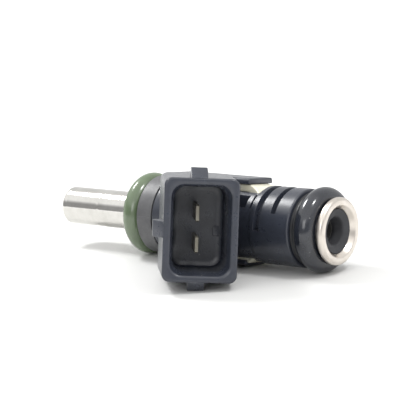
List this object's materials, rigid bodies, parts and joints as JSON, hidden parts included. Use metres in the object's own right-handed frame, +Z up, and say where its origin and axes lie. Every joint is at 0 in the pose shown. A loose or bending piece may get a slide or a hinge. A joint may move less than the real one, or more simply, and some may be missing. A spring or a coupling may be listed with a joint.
{
  "type": "fuel injector",
  "caption": "Electromagnetic petrol injector with a long polished nozzle tube, sealing rings at both ends and an inclined two-blade plug shell.",
  "frame": {"origin": "centre of the lower O-ring on the injector's axis", "axes": "+X along the injector's axis towards the fuel inlet, +Z up with the injector lying on its O-rings and the plug's lower lug, plug towards -Y and +X"},
  "size_m": [0.0597, 0.0331, 0.0206],
  "materials": {
    "polished_stainless": "drawn and polished, faint lengthwise lines",
    "satin_stainless": "turned satin",
    "hardened_steel": "ground",
    "ball_steel": "lapped",
    "magnetic_steel": "turned, thin hard chrome",
    "spring_steel": "drawn wire",
    "gap_alloy": "turned",
    "flange_steel": "satin, warm",
    "filter_plastic": "moulded",
    "filter_weave": "fine woven mesh",
    "bobbin_plastic": "glass-filled",
    "copper_wire": "enamelled copper",
    "yellow_passivated_steel": "yellow passivated zinc",
    "tinned_blade": "tin plated",
    "black_moulding": "glass-filled, fine satin grain",
    "charcoal_moulding": "satin",
    "green_rubber": "smooth, oiled",
    "black_rubber": "smooth, oiled",
    "support_plastic": "smooth"
  },
  "bodies": {
    "injector_body": {"nozzle_tube": "polished_stainless", "valve_seat": "hardened_steel", "orifice_disc": "hardened_steel", "needle_guide": "hardened_steel", "return_spring": "spring_steel", "adjusting_sleeve": "spring_steel", "pole_piece": "magnetic_steel", "gap_ring": "gap_alloy", "inlet_tube": "satin_stainless", "inlet_flange": "flange_steel", "filter_frame": "filter_plastic", "filter_mesh": "filter_weave", "bobbin": "bobbin_plastic", "coil_winding": "copper_wire", "flux_yoke": "yellow_passivated_steel", "terminal_upper": "tinned_blade", "terminal_lower": "tinned_blade", "overmould": "black_moulding", "lower_collar": "charcoal_moulding", "lower_o_ring": "green_rubber", "ring_retainer": "satin_stainless", "support_ring": "support_plastic", "upper_o_ring": "black_rubber"},
    "needle_assembly": {"valve_ball": "ball_steel", "needle_tube": "hardened_steel", "armature": "magnetic_steel"}
  },
  "joints": [
    {"name": "needle_lift", "type": "slide", "parent": "injector_body", "child": "needle_assembly", "axis": [1, 0, 0], "range_m": [0, 0.00008], "stiffness_N_per_m": 3000, "springref_m": -0.0012, "deforming": ["return_spring"]}
  ]
}
